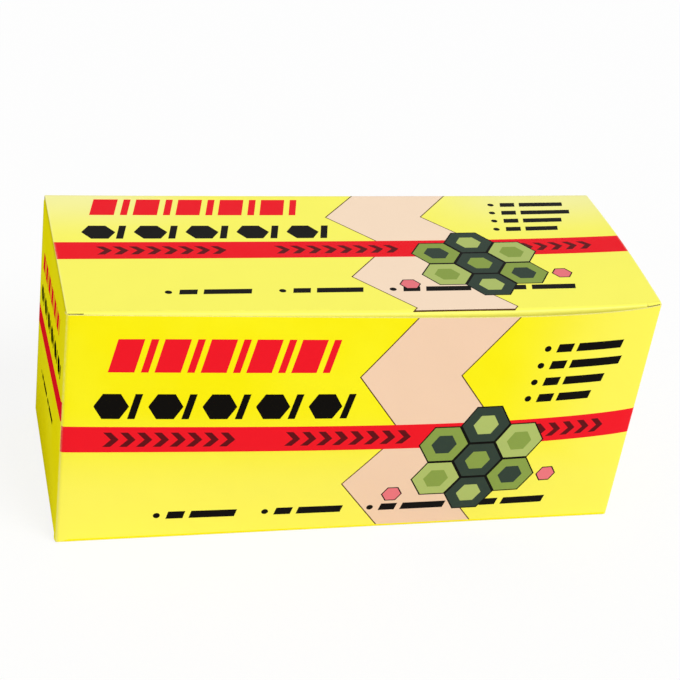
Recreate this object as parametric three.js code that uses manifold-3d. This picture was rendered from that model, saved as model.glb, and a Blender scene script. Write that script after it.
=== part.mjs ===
// A tuck-top retail carton of wound sticky-ribbon insect traps.
// The carton is folded from boxboard: four walls and a glue flap, a base of glued flaps, two dust flaps,
// and a lid whose tuck flap slips in behind the front wall. Inside stand three rows of paper tubes, each
// with a roll of sticky ribbon that is pulled out by its cap. One trap of the front row is built down to
// its pieces. The others of that row have a tube, a cap and a tack, and the rows behind are whole traps.
// Units are millimetres, +X runs along the carton, +Y points to the back and +Z is up.
// The origin is the middle of the footprint, on the surface that the carton stands on.

import * as THREE from "three";
import { mergeVertices } from "three/addons/utils/BufferGeometryUtils.js";
import Module from "manifold-3d";

const wasm = await Module();
wasm.setup();

// Boxboard
const board = 0.45;
const layGap = 0.1; // between pieces that lie on one another
const foldGap = 0.15; // between two boards that meet at a crease

// One trap
const tubeDiameter = 19;
const tubeWall = 0.6;
const tubeHeight = 57;
const tubeSides = 24;
const tubeFit = 0.12; // radial clearance of what sits in the tube
const baseCapThickness = 1.5;
const mouthDepth = 5.4; // from the tube's upper edge down to the roll
const rollCoreRadius = 4.4;
const rollSides = 20;
const leaderWidth = 7.6;
const leaderThickness = 0.5;
const leaderTurns = 2.5;
const leaderSteps = 72;
const leaderLift = 1.2; // of the leader's lower end above the base cap
const plugHeight = 4;
const flangeThickness = 0.9;
const flangeInset = 0.3; // of the flange's edge inside the tube's outline
const tabWidth = 6.2;
const tabThickness = 0.5;
const tabCornerRadius = 1.6;
const tabHoleRadius = 1.3;
const tabEdge = 1.4; // from the tab's fixed end to the edge of the flange
const tabTackGap = 0.9;
const tackHeadRadius = 3;
const tackHeadThickness = 0.7;
const tackCrownShare = 0.55; // the crown's radius as a share of the head's
const tackPinRadius = 0.5;
const tackPinLength = 5.4;
const tackPointLength = 1.2;
const tackEdge = 0.5; // from the tack's head to the edge of the flange
const tackSides = 12;
const pinFit = 0.12;
const cutOverrun = 1;

// The front wall's bow
const frontBow = 4.2; // outwards at mid-length, where it is fullest
const bowFlatness = 0.8; // below 1 the bow is flatter in the middle and steeper at its ends
const bowSkew = 0.5; // how far the fullest place lies to the right
const bowRiseShare = 0.6; // of the wall's height, over which the bow grows from nothing
const bowTopLoss = 0.3; // the share lost at the wall's free upper edge at mid-length
const bowTopSkew = 0.45; // how much more of it is lost at the left end
const bowColumns = 24;
const bowRows = 10;

// How the traps stand
const rowNames = ["front", "middle", "back"];
const trapsInRow = 8;
const trapGap = 0.25;
const endClearance = 1.6;
const sideClearance = 0.8;
const detailedColumn = 3; // the front row's trap that is built down to its pieces, counted from 0
const turnStep = 47; // degrees between the tab of one trap and the next

// Closures
const headroom = 12.7; // from the tubes' tops to the underside of the dust flaps
const frontDrop = 1.6; // of the front wall's cut edge below the lid's face
const endInset = 0.3; // of the lid's and base flaps' ends inside the side walls' outer faces
const tuckGap = 0.75; // between the tuck flap and the front wall
const tuckEndGap = 0.45; // between the tuck flap and the side walls
const tuckHeight = 11.5;
const tuckCornerRadius = 6;
const slitLength = 3.5;
const slitWidth = 0.4;
const dustLength = 36;
const dustFrontGap = 0.55; // between the dust flaps and the tuck flap
const dustBackGap = 1; // between the dust flaps and the back wall
const dustShoulder = 3.5; // stretch at the crease whose front edge runs straight
const dustFrontSlope = 0.14;
const dustBackSlope = 0.62; // how fast the back edge runs away from the lid's hinge
const dustCornerRadius = 4;
const glueWidth = 13;
const glueTaper = 6;
const baseInnerDepth = 55;
const baseCornerChamfer = 8;

// Worked-out sizes of the carton
const pitch = tubeDiameter + trapGap;
const cartonLength = trapsInRow * pitch - trapGap + 2 * endClearance + 2 * board;
const cartonDepth = rowNames.length * pitch - trapGap + 2 * sideClearance + 2 * board;
const layer = board + layGap; // height that each base flap takes
const trapFloor = 3 * layer;
const dustUnderside = trapFloor + tubeHeight + headroom;
const wallTop = dustUnderside + board; // top of the side and back walls, and of the dust flaps
const lidUnderside = wallTop + layGap;
const cartonHeight = lidUnderside + board;
const frontHeight = cartonHeight - frontDrop;
const halfLength = cartonLength / 2;
const halfDepth = cartonDepth / 2;
const tuckFace = -halfDepth + board + tuckGap; // outer face of the tuck flap, and front edge of the lid

// Worked-out sizes of a trap, with its own floor at zero
const tubeRadius = tubeDiameter / 2;
const boreRadius = tubeRadius - tubeWall;
const plugRadius = boreRadius - tubeFit;
const rollBottom = baseCapThickness + layGap;
const rollTop = tubeHeight - mouthDepth;
const flangeRadius = tubeRadius - flangeInset;
const flangeUnderside = tubeHeight + layGap;
const capTop = flangeUnderside + flangeThickness;
const tabStart = tabEdge - flangeRadius;
const tackCentre = flangeRadius - tackEdge - tackHeadRadius;
const tabLength = tackCentre - tackHeadRadius - tabTackGap - tabStart;

// Finishes
const finish = (color, roughness, metalness = 0) => new THREE.MeshStandardMaterial({ color, roughness, metalness });
const printedBoard = finish(0xf7ea1e, 0.35);
const greyBoard = finish(0xcfcabd, 0.9);
const tubePaper = finish(0xf2d21c, 0.55);
const capCard = finish(0xc8242b, 0.6);
const kraft = finish(0xb08a5a, 0.85);
const stickyRibbon = finish(0xc98f2c, 0.2);
const tackBrass = finish(0xc9a13b, 0.3, 0.9);

// Building blocks
const carton = new THREE.Group();

function addMesh(name, geometry, material, parent = carton) {
  const mesh = new THREE.Mesh(geometry, material);
  mesh.name = name;
  parent.add(mesh);
  return mesh;
}

function solidFrom(geometry) {
  const bare = geometry.index ? geometry.toNonIndexed() : geometry.clone();
  bare.deleteAttribute("normal");
  bare.deleteAttribute("uv");
  const merged = mergeVertices(bare);
  return new wasm.Manifold(
    new wasm.Mesh({
      numProp: 3,
      vertProperties: merged.attributes.position.array,
      triVerts: new Uint32Array(merged.index.array),
    }),
  );
}

function geometryFrom(solid) {
  const mesh = solid.getMesh();
  const geometry = new THREE.BufferGeometry();
  geometry.setAttribute("position", new THREE.BufferAttribute(mesh.vertProperties, 3));
  geometry.setIndex(new THREE.BufferAttribute(mesh.triVerts, 1));
  geometry.computeVertexNormals();
  return geometry;
}

const extrude = (shape, depth, curveSegments = 4) =>
  new THREE.ExtrudeGeometry(shape, { depth, bevelEnabled: false, curveSegments });

// A disc or ring that stands on z = 0. A full circle takes two sides for each curve segment.
function disc(radius, height, sides, holeRadius = 0) {
  const shape = new THREE.Shape();
  shape.absarc(0, 0, radius, 0, 2 * Math.PI);
  if (holeRadius > 0) {
    const hole = new THREE.Path();
    hole.absarc(0, 0, holeRadius, 0, 2 * Math.PI, true);
    shape.holes.push(hole);
  }
  return extrude(shape, height, sides / 2);
}

// An outline through corners [x, y, radius], each rounded where its radius isn't zero.
function outlineThrough(corners) {
  const shape = new THREE.Shape();
  corners.forEach(([x, y, radius], i) => {
    const corner = new THREE.Vector2(x, y);
    const before = corners[(i + corners.length - 1) % corners.length];
    const after = corners[(i + 1) % corners.length];
    const start = new THREE.Vector2(before[0], before[1]).sub(corner).setLength(radius).add(corner);
    const end = new THREE.Vector2(after[0], after[1]).sub(corner).setLength(radius).add(corner);
    if (i === 0) shape.moveTo(start.x, start.y);
    else shape.lineTo(start.x, start.y);
    if (radius > 0) shape.quadraticCurveTo(x, y, end.x, end.y);
  });
  return shape;
}

// Walls of the carton

function addWall(name, [width, depth, height], [x, y, bottom]) {
  const wall = addMesh(name, new THREE.BoxGeometry(width, depth, height), printedBoard);
  wall.position.set(x, y, bottom + height / 2);
}

// How far the front wall stands out at a place on it. Its ends and its lower edge are straight creases.
function bowAt(x, z) {
  const along = x / halfLength;
  const across = (1 - along ** 2) ** bowFlatness * (1 + bowSkew * along);
  const up = z / (frontHeight * bowRiseShare);
  const rise = Math.sin((Math.PI / 2) * Math.min(1, up));
  const over = Math.max(0, up - 1) / (1 / bowRiseShare - 1);
  const loss = (bowTopLoss - bowTopSkew * along) * over ** 2;
  return frontBow * across * rise * (1 - loss);
}

// The front wall is pushed outwards by the traps that stand behind it.
function addFrontWall() {
  const wall = new THREE.BoxGeometry(cartonLength, board, frontHeight, bowColumns, 1, bowRows);
  wall.translate(0, board / 2 - halfDepth, frontHeight / 2);
  const points = wall.attributes.position;
  for (let i = 0; i < points.count; i++) {
    const x = THREE.MathUtils.clamp(points.getX(i), -halfLength, halfLength);
    points.setY(i, points.getY(i) - bowAt(x, points.getZ(i)));
  }
  wall.computeVertexNormals();
  addMesh("front_panel", wall, printedBoard);
}

function addWalls() {
  addFrontWall();
  addWall("back_panel", [cartonLength, board, wallTop], [0, halfDepth - board / 2, 0]);

  const sideCentre = halfLength - board / 2;
  const sideDepth = cartonDepth - 2 * (board + foldGap);
  const sideBottom = 2 * layer;
  const sideSize = [board, sideDepth, wallTop - sideBottom];
  addWall("left_panel", sideSize, [-sideCentre, 0, sideBottom]);
  addWall("right_panel", sideSize, [sideCentre, 0, sideBottom]);
}

// The flap that closes the sleeve, glued inside the back wall at its left end.
function addGlueFlap() {
  const crease = -halfLength + board + foldGap;
  const edge = crease + glueWidth;
  const bottom = trapFloor + layGap;
  const top = dustUnderside - layGap;
  const outline = outlineThrough([
    [crease, bottom, 0],
    [edge, bottom + glueTaper, 0],
    [edge, top - glueTaper, 0],
    [crease, top, 0],
  ]);
  const flap = addMesh("glue_flap", extrude(outline, board), greyBoard);
  flap.rotation.x = Math.PI / 2;
  flap.position.y = halfDepth - board - layGap;
}

// Base flaps, from the outermost up: one from the front wall, one from the back wall, two dust flaps.
// The long flaps' free corners are cut off at an angle.
function addBase() {
  const end = halfLength - endInset;
  const inside = halfDepth - board - foldGap;

  const outer = outlineThrough([
    [-end, -inside, 0],
    [end, -inside, 0],
    [end, inside - baseCornerChamfer, 0],
    [end - baseCornerChamfer, inside, 0],
    [baseCornerChamfer - end, inside, 0],
    [-end, inside - baseCornerChamfer, 0],
  ]);
  addMesh("base_outer_flap", extrude(outer, board), printedBoard);

  const edge = inside - baseInnerDepth;
  const inner = outlineThrough([
    [end, inside, 0],
    [-end, inside, 0],
    [-end, edge + baseCornerChamfer, 0],
    [baseCornerChamfer - end, edge, 0],
    [end - baseCornerChamfer, edge, 0],
    [end, edge + baseCornerChamfer, 0],
  ]);
  addMesh("base_inner_flap", extrude(inner, board), greyBoard).position.z = layer;

  addDustFlaps("base_dust_flap", 2 * layer);
}

// Closures at the top

// A pair of dust flaps, creased along the side walls' inner faces.
function addDustFlaps(name, z) {
  const frontEdge = tuckFace + board + dustFrontGap;
  const backEdge = halfDepth - board - dustBackGap;
  const tip = dustLength;
  const corners = [
    [foldGap, frontEdge, 0],
    [dustShoulder, frontEdge, 0],
    [tip, frontEdge + dustFrontSlope * (tip - dustShoulder), dustCornerRadius],
    [tip, backEdge - dustBackSlope * tip, dustCornerRadius],
    [foldGap, backEdge - dustBackSlope * foldGap, 0],
  ];
  const left = corners.map(([x, y, radius]) => [x, y, radius]);
  const right = corners.map(([x, y, radius]) => [-x, y, radius]).reverse();
  const crease = halfLength - board;
  addMesh(`${name}_left`, extrude(outlineThrough(left), board), printedBoard).position.set(-crease, 0, z);
  addMesh(`${name}_right`, extrude(outlineThrough(right), board), printedBoard).position.set(crease, 0, z);
}

function addLid() {
  const depth = halfDepth - tuckFace;
  const lid = new THREE.BoxGeometry(cartonLength - 2 * endInset, depth, board);
  addMesh("lid_panel", lid, printedBoard).position.set(0, halfDepth - depth / 2, lidUnderside + board / 2);
}

// The tuck flap hangs from the lid's front crease. A slit at each end of the crease frees its shoulders.
function addTuckFlap() {
  const end = halfLength - board - tuckEndGap;
  const crease = end - slitLength;
  const top = -foldGap;
  const shoulder = top - slitWidth;
  const outline = outlineThrough([
    [-crease, shoulder, 0],
    [-end, shoulder, 0],
    [-end, -tuckHeight, tuckCornerRadius],
    [end, -tuckHeight, tuckCornerRadius],
    [end, shoulder, 0],
    [crease, shoulder, 0],
    [crease, top, 0],
    [-crease, top, 0],
  ]);
  const flap = addMesh("tuck_flap", extrude(outline, board), printedBoard);
  flap.rotation.x = Math.PI / 2;
  flap.position.set(0, tuckFace + board, lidUnderside);
}

// Pieces of a trap

// A flange with the plug under it, and the hole that the tack's pin goes through.
function capSolid() {
  const plugBottom = tubeHeight - plugHeight;
  const plug = solidFrom(disc(plugRadius, capTop - plugBottom, tubeSides)).translate(0, 0, plugBottom);
  const flange = solidFrom(disc(flangeRadius, flangeThickness, tubeSides)).translate(0, 0, flangeUnderside);
  const hole = solidFrom(disc(tackPinRadius + pinFit, capTop + cutOverrun, tackSides)).translate(tackCentre, 0, 0);
  return flange.add(plug).subtract(hole);
}

// A card tab with a punched hole, flat on z = 0 and fixed at its end on x = 0.
function tabGeometry() {
  const half = tabWidth / 2;
  const outline = outlineThrough([
    [0, -half, 0],
    [tabLength, -half, tabCornerRadius],
    [tabLength, half, tabCornerRadius],
    [0, half, 0],
  ]);
  const hole = new THREE.Path();
  hole.absarc(tabLength - half, 0, tabHoleRadius, 0, 2 * Math.PI, true);
  outline.holes.push(hole);
  return extrude(outline, tabThickness);
}

// A tack with its pin down and the underside of its head on z = 0.
function tackGeometry() {
  const profile = [
    [0, -tackPinLength],
    [tackPinRadius, tackPointLength - tackPinLength],
    [tackPinRadius, 0],
    [tackHeadRadius, 0],
    [tackHeadRadius, tackHeadThickness / 2],
    [tackHeadRadius * tackCrownShare, tackHeadThickness],
    [0, tackHeadThickness],
  ].map(([radius, z]) => new THREE.Vector2(radius, z));
  return new THREE.LatheGeometry(profile, tackSides).rotateX(Math.PI / 2);
}

// The ribbon's free inner end: a strip that twists down through the core of its roll.
function leaderGeometry() {
  const bottom = baseCapThickness + leaderLift;
  const top = tubeHeight - plugHeight - layGap;
  const halfWidth = leaderWidth / 2;
  const halfThickness = leaderThickness / 2;
  const section = [
    [-halfWidth, -halfThickness],
    [halfWidth, -halfThickness],
    [halfWidth, halfThickness],
    [-halfWidth, halfThickness],
  ];
  const positions = [];
  for (let step = 0; step <= leaderSteps; step++) {
    const share = step / leaderSteps;
    const angle = 2 * Math.PI * leaderTurns * share;
    for (const [x, y] of section) {
      positions.push(x * Math.cos(angle) - y * Math.sin(angle));
      positions.push(x * Math.sin(angle) + y * Math.cos(angle));
      positions.push(bottom + share * (top - bottom));
    }
  }
  const last = leaderSteps * section.length;
  const faces = [[2, 1, 0], [3, 2, 0], [last, last + 1, last + 2], [last, last + 2, last + 3]];
  for (let step = 0; step < leaderSteps; step++) {
    for (let side = 0; side < section.length; side++) {
      const a = step * section.length + side;
      const b = step * section.length + ((side + 1) % section.length);
      faces.push([a, b, a + section.length], [b, b + section.length, a + section.length]);
    }
  }
  const geometry = new THREE.BufferGeometry();
  geometry.setAttribute("position", new THREE.Float32BufferAttribute(positions, 3));
  geometry.setIndex(faces.flat());
  geometry.computeVertexNormals();
  return geometry;
}

// Traps

const cap = capSolid();
const tab = tabGeometry();
const tack = tackGeometry();
const tabSunk = solidFrom(tab).translate(tabStart, 0, capTop - layGap);

// The trap that is built down to its pieces.
function addDetailedTrap(name, trap) {
  addMesh(`${name}_tube`, disc(tubeRadius, tubeHeight, tubeSides, boreRadius), tubePaper, trap);
  addMesh(`${name}_base_cap`, disc(plugRadius, baseCapThickness, tubeSides), greyBoard, trap);
  const roll = disc(plugRadius, rollTop - rollBottom, rollSides, rollCoreRadius);
  addMesh(`${name}_ribbon_roll`, roll, stickyRibbon, trap).position.z = rollBottom;
  addMesh(`${name}_ribbon_leader`, leaderGeometry(), stickyRibbon, trap);
  addMesh(`${name}_cap`, geometryFrom(cap), capCard, trap);
  addMesh(`${name}_hang_tab`, tab, kraft, trap).position.set(tabStart, 0, capTop + layGap);
  addMesh(`${name}_tack`, tack, tackBrass, trap).position.set(tackCentre, 0, capTop + layGap);
}

// A trap whose roll fills its tube, and whose tab is one piece with its cap.
const filledTube = solidFrom(disc(tubeRadius, tubeHeight, tubeSides));
const mouth = solidFrom(disc(boreRadius, mouthDepth + cutOverrun, tubeSides)).translate(0, 0, rollTop);
const plainTube = geometryFrom(filledTube.subtract(mouth));
const tabbedCap = geometryFrom(cap.add(tabSunk));

function addPlainTrap(name, trap) {
  addMesh(`${name}_tube`, plainTube, tubePaper, trap);
  addMesh(`${name}_cap`, tabbedCap, capCard, trap);
  addMesh(`${name}_tack`, tack, tackBrass, trap).position.set(tackCentre, 0, capTop + layGap);
}

// A whole trap as one solid.
const flangeSunk = solidFrom(disc(flangeRadius, capTop - rollTop, tubeSides)).translate(0, 0, rollTop);
const tackSunk = solidFrom(tack).translate(tackCentre, 0, capTop - layGap);
const wholeTrap = geometryFrom(filledTube.add(flangeSunk).add(tabSunk).add(tackSunk));

function addTraps() {
  rowNames.forEach((rowName, row) => {
    for (let column = 0; column < trapsInRow; column++) {
      const name = `${rowName}_trap_${column + 1}`;
      const trap = new THREE.Group();
      const x = (column - (trapsInRow - 1) / 2) * pitch;
      const y = (row - (rowNames.length - 1) / 2) * pitch;
      const turns = row * trapsInRow + column - detailedColumn;
      trap.position.set(x, y, trapFloor);
      trap.rotation.z = THREE.MathUtils.degToRad(turnStep * turns);
      carton.add(trap);
      if (row > 0) addMesh(name, wholeTrap, tubePaper, trap);
      else if (column === detailedColumn) addDetailedTrap(name, trap);
      else addPlainTrap(name, trap);
    }
  });
}

addWalls();
addGlueFlap();
addBase();
addDustFlaps("dust_flap", dustUnderside);
addLid();
addTuckFlap();
addTraps();

export default carton;
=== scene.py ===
import math

import bpy
import numpy as np
from mathutils import Matrix, Vector


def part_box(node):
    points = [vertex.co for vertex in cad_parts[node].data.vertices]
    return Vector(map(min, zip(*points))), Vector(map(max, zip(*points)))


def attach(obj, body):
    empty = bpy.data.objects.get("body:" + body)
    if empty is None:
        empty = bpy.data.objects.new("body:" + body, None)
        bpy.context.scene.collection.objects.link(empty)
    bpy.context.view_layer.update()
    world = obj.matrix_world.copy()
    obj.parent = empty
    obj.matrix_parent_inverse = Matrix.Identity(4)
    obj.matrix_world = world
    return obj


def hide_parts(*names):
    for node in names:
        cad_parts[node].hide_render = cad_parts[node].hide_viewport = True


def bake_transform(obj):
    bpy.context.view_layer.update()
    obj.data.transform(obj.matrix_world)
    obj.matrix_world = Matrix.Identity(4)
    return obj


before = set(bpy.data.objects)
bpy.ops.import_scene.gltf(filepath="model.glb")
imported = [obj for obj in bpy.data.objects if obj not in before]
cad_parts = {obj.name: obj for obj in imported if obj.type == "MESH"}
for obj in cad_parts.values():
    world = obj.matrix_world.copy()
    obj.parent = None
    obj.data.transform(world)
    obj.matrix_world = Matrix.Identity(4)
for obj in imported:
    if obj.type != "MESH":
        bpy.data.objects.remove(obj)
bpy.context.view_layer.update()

# The looks of a tuck-top carton of sticky-ribbon insect traps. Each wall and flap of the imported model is
# replaced by a sheet of printed board with rounded folds, and each trap by a finer one.
# Lengths are metres, and prints are laid out in millimetres on each panel.

MM = 0.001

# The view
azimuth = math.radians(-18.01)
elevation = math.radians(32.81)
roll = math.radians(8.73)
camera_distance = 502.4 * MM
camera_aim = (-6.25 * MM, -35.57 * MM)  # of the carton's origin in the picture, right and up
lens = 91.55
sensor = 36

# The stage
sky_light = 0.5
key_light = 1.85
key_angle = math.radians(35)
key_from = (0.3, -0.4, 0.6)
floor_white = 1
floor_glow = 0.85  # the share of its shadow that the floor hides
floor_reach = 6
floor_drop = 0.02 * MM

# The carton's measured boxes
lid_low, lid_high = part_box("lid_panel")
back_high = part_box("back_panel")[1]
side_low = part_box("right_panel")[0]
tuck_low, tuck_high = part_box("tuck_flap")
glue_low, glue_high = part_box("glue_flap")
dust_low, dust_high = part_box("dust_flap_left")
half_length = back_high.x
half_depth = back_high.y
top = lid_high.z
board = lid_high.z - lid_low.z
front_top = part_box("front_panel")[1].z

# Folds
wall_radius = 1.2 * MM  # of the upright folds, outside
lid_radius = 1.2 * MM
flap_radius = 0.9 * MM
base_radius = 1 * MM
tuck_radius = 0.85 * MM  # at its ends
tuck_swell = 0.75 * MM  # how much larger it is at mid-length
lead_in = 0.3 * MM  # flat stretch between a seam and the fold after it
fold_steps = 7
step_width = 0.02 * MM  # over which an edge jumps from one height to another
sharp_angle = math.radians(40)  # above which an edge is drawn sharp

# The front wall's bow
front_bow = 4.2 * MM
bow_flatness = 0.8
bow_skew = 0.5  # how far it is fuller on the right
bow_rise_share = 0.6  # of the wall's height, where it is fullest
bow_top_loss = 0.3  # the share of it that the cut edge lacks
bow_top_skew = 0.45
edge_rise = 0.8 * MM  # of the front wall's cut edge at mid-length
edge_lift = 0.55 * MM  # how much more it rises at its ends

# The lid and its tuck flap
lid_sag = 0.35 * MM
end_arch = 1 * MM
lid_seam = -26 * MM  # where the lid's sheet hands over to the tuck flap's
crease_front = -29.5 * MM  # how far forward the fold reaches at its ends
crease_bow = 2.1 * MM
crease_skew = 0.4
crease_gap = 0.05 * MM
crease_blend = 40  # the higher, the sharper the turn from bowed to held by the front wall
lid_print_end = 135  # degrees round the fold
slit = 3.5 * MM
ear_front = -29.2 * MM  # of the lid's corners beside the slits, at the carton's ends
ear_droop = 0.3 * MM
tuck_shoulder = 70.9 * MM
tuck_straight = 1.2 * MM  # of the flap below its shoulder, where it shows
tuck_settle = 8 * MM  # over which the tuck flap draws in behind the front wall
tuck_follow = 0.8  # the share of the fold's bow that its face takes
tuck_corner = 6 * MM

# The other flaps
glue_taper = 6 * MM
wall_foot = 0.5 * MM  # height of the walls' lower edges
base_chamfer = 8 * MM
dust_corner = 4 * MM
dust_strip = 3 * MM  # of the flap beside its fold, in one row
dust_shoulder = 3.5 * MM  # stretch at the crease whose front edge runs straight
dust_front_slope = 0.14
dust_back_slope = 0.62  # how fast the back edge runs away from the lid's hinge


def add_camera():
    level = Vector((math.cos(azimuth), math.sin(azimuth), 0))
    facing = Vector((math.sin(azimuth), -math.cos(azimuth), 0))
    back = facing * math.cos(elevation) + Vector((0, 0, math.sin(elevation)))
    upright = back.cross(level)
    right = math.cos(roll) * level + math.sin(roll) * upright
    up = math.cos(roll) * upright - math.sin(roll) * level
    place = back * camera_distance - right * camera_aim[0] - up * camera_aim[1]
    data = bpy.data.cameras.new("camera")
    data.sensor_width = sensor
    data.lens = lens
    camera = bpy.data.objects.new("camera", data)
    camera.matrix_world = Matrix.Translation(place) @ Matrix((right, up, back)).transposed().to_4x4()
    bpy.context.scene.collection.objects.link(camera)
    bpy.context.scene.camera = camera


add_camera()


# Arithmetic in node trees


def put(tree, place, item):
    """Links a node's output to a place, or sets a number or a colour there."""
    if isinstance(item, Value):
        item = item.socket
    if isinstance(item, bpy.types.NodeSocket):
        tree.links.new(item, place)
    else:
        place.default_value = item


class Value:
    """One number in a material's node tree."""

    def __init__(self, tree, socket):
        self.tree = tree
        self.socket = socket

    def math(self, operation, *others):
        node = self.tree.nodes.new("ShaderNodeMath")
        node.operation = operation
        for place, item in zip(node.inputs, (self, *others)):
            put(self.tree, place, item)
        return Value(self.tree, node.outputs[0])

    def __add__(self, other):
        return self.math("ADD", other)

    def __sub__(self, other):
        return self.math("SUBTRACT", other)

    def __rsub__(self, other):
        return self.math("MULTIPLY_ADD", -1, other)

    def __mul__(self, other):
        return self.math("MULTIPLY", other)

    def __truediv__(self, other):
        return self.math("DIVIDE", other)

    def size(self):
        return self.math("ABSOLUTE")

    def least(self, other):
        return self.math("MINIMUM", other)

    def most(self, other):
        return self.math("MAXIMUM", other)

    def below(self, limit):
        return self.math("LESS_THAN", limit)

    def above(self, limit):
        return self.math("GREATER_THAN", limit)

    def repeat(self, pitch):
        """The distance past the last whole number of pitches."""
        return self.math("FLOORED_MODULO", pitch)

    def between(self, low, high):
        return (self - (low + high) / 2).size().below((high - low) / 2)

    def fade(self, start, end):
        """0 at start, 1 at end, smooth between and flat outside."""
        node = self.tree.nodes.new("ShaderNodeMapRange")
        node.interpolation_type = "SMOOTHSTEP"
        self.tree.links.new(self.socket, node.inputs["Value"])
        node.inputs["From Min"].default_value = start
        node.inputs["From Max"].default_value = end
        return Value(self.tree, node.outputs["Result"])


def linear(*rgb):
    """A screen colour, 0 to 255, as Blender's linear colour."""
    shares = [c / 255 for c in rgb]
    return tuple(s / 12.92 if s <= 0.04045 else ((s + 0.055) / 1.055) ** 2.4 for s in shares) + (1,)


def paint(tree, under, over, mask):
    """The colour under, with the colour over laid on it where the mask is 1."""
    node = tree.nodes.new("ShaderNodeMix")
    node.data_type = "RGBA"
    for name, item in (("Factor", mask), ("A", under), ("B", over)):
        put(tree, node.inputs[name], item)
    return node.outputs["Result"]


class Material:
    """A procedural material whose patterns lie on the Print map, in millimetres."""

    def __init__(self, name):
        self.material = bpy.data.materials.new(name)
        self.material.use_nodes = True
        self.tree = self.material.node_tree
        self.shader = self.tree.nodes["Principled BSDF"]
        self.map = self.tree.nodes.new("ShaderNodeUVMap")
        self.map.uv_map = "Print"
        parts = self.tree.nodes.new("ShaderNodeSeparateXYZ")
        self.tree.links.new(self.map.outputs["UV"], parts.inputs["Vector"])
        self.u = Value(self.tree, parts.outputs["X"])
        self.v = Value(self.tree, parts.outputs["Y"])

    def noise(self, scale, detail=2, stretch=(1, 1)):
        """Noise with scale features in each millimetre."""
        mapping = self.tree.nodes.new("ShaderNodeMapping")
        mapping.inputs["Scale"].default_value = (*stretch, 1)
        self.tree.links.new(self.map.outputs["UV"], mapping.inputs["Vector"])
        node = self.tree.nodes.new("ShaderNodeTexNoise")
        node.inputs["Scale"].default_value = scale
        node.inputs["Detail"].default_value = detail
        self.tree.links.new(mapping.outputs["Vector"], node.inputs["Vector"])
        return Value(self.tree, node.outputs["Fac"])

    def mix(self, first, second, share):
        """Two colours mixed by a share that fades between its darker and lighter middle."""
        return paint(self.tree, first, second, share.fade(0.3, 0.7))

    def bump(self, *heights):
        """Bumps from pairs of a height field and how high it stands, the coarsest first."""
        below = None
        for field, height in heights:
            node = self.tree.nodes.new("ShaderNodeBump")
            node.inputs["Strength"].default_value = 1
            node.inputs["Distance"].default_value = height
            self.tree.links.new(field.socket, node.inputs["Height"])
            if below:
                self.tree.links.new(below, node.inputs["Normal"])
            below = node.outputs["Normal"]
        self.tree.links.new(below, self.shader.inputs["Normal"])

    def finish(self, colour, roughness, **constants):
        put(self.tree, self.shader.inputs["Base Color"], colour)
        put(self.tree, self.shader.inputs["Roughness"], roughness)
        for name, value in constants.items():
            self.shader.inputs[name.replace("_", " ")].default_value = value
        return self.material


# Printed shapes. Each gives 1 inside the shape and 0 outside it.

bar_slant = 0.22
lean_height = 60  # at which a heading's bars are measured
dot_share = 0.36  # of a row's height, for its dot's radius


def bar(u, v, centre, size):
    """An upright bar that leans to the right."""
    across = (u - v * bar_slant - (centre[0] - centre[1] * bar_slant)).size() / (size[0] / 2)
    return across.most((v - centre[1]).size() / (size[1] / 2)).below(1)


def dot(u, v, centre, radius):
    x = u - centre[0]
    y = v - centre[1]
    return (x * x + y * y).below(radius**2)


def hexagon(u, v, centre, radius):
    x = (u - centre[0]).size()
    y = (v - centre[1]).size()
    return (x * math.sqrt(3) / 2 + y / 2).most(y).below(radius * math.sqrt(3) / 2)


def item_row(u, v, start, height, words, size=2.6):
    """A dot and bars in a row. words are (offset, length) of the bars."""
    mask = dot(u, v, (start, height), size * dot_share)
    for offset, length in words:
        mask = mask.most(bar(u, v, (start + offset + length / 2, height), (length, size)))
    return mask


def bar_heading(u, v, start, length, heights, pitch, broad, narrow):
    """Leaning bars. Each pitch has one as wide as broad, then one between narrow's two distances."""
    along = u - (v - lean_height) * bar_slant - start
    pattern = along.repeat(pitch)
    bars = pattern.below(broad).most(pattern.between(*narrow))
    return bars * along.between(0, length) * v.between(*heights)


def bead_heading(u, v, start, end, pitch, bead, radius, bar_middle, bar_size, height=45):
    """Hexagons and bars in turn. bead and bar_middle are their places in each pitch."""
    cell = (u - start).repeat(pitch)
    beads = hexagon(cell, v, (bead, height), radius)
    return beads.most(bar(cell, v, (bar_middle, height), bar_size)) * u.between(start, end)


# Inks
yellow = linear(251, 238, 10)
cloud_yellow = linear(252, 242, 30)
# Painted light: a wall's ground pales to this low down, as a painted reflection of the floor, and to the
# right.
lit_yellow = linear(252, 243, 92)
# Painted sheen: the lid's ground pales to this, and the tuck flap's face is given it as painted light where
# it lies in shade.
sheen_yellow = linear(255, 251, 108)
# Painted reflection: the lid's ground pales further to this towards its back corners.
reflection_yellow = linear(250, 247, 178)
# Partly wear, partly a painted highlight along the folds.
wear_and_sheen_ink = linear(255, 251, 205)
red = linear(240, 24, 38)
maroon = linear(96, 18, 24)
black = linear(12, 9, 6)
peach = linear(243, 208, 178)
# Painted sheen: the lid's paler peach.
sheen_peach = linear(251, 225, 198)
brown = linear(88, 60, 30)
dark_green = linear(52, 66, 56)
green = linear(138, 160, 74)
light_green = linear(176, 192, 108)
pink = linear(236, 120, 128)

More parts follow.
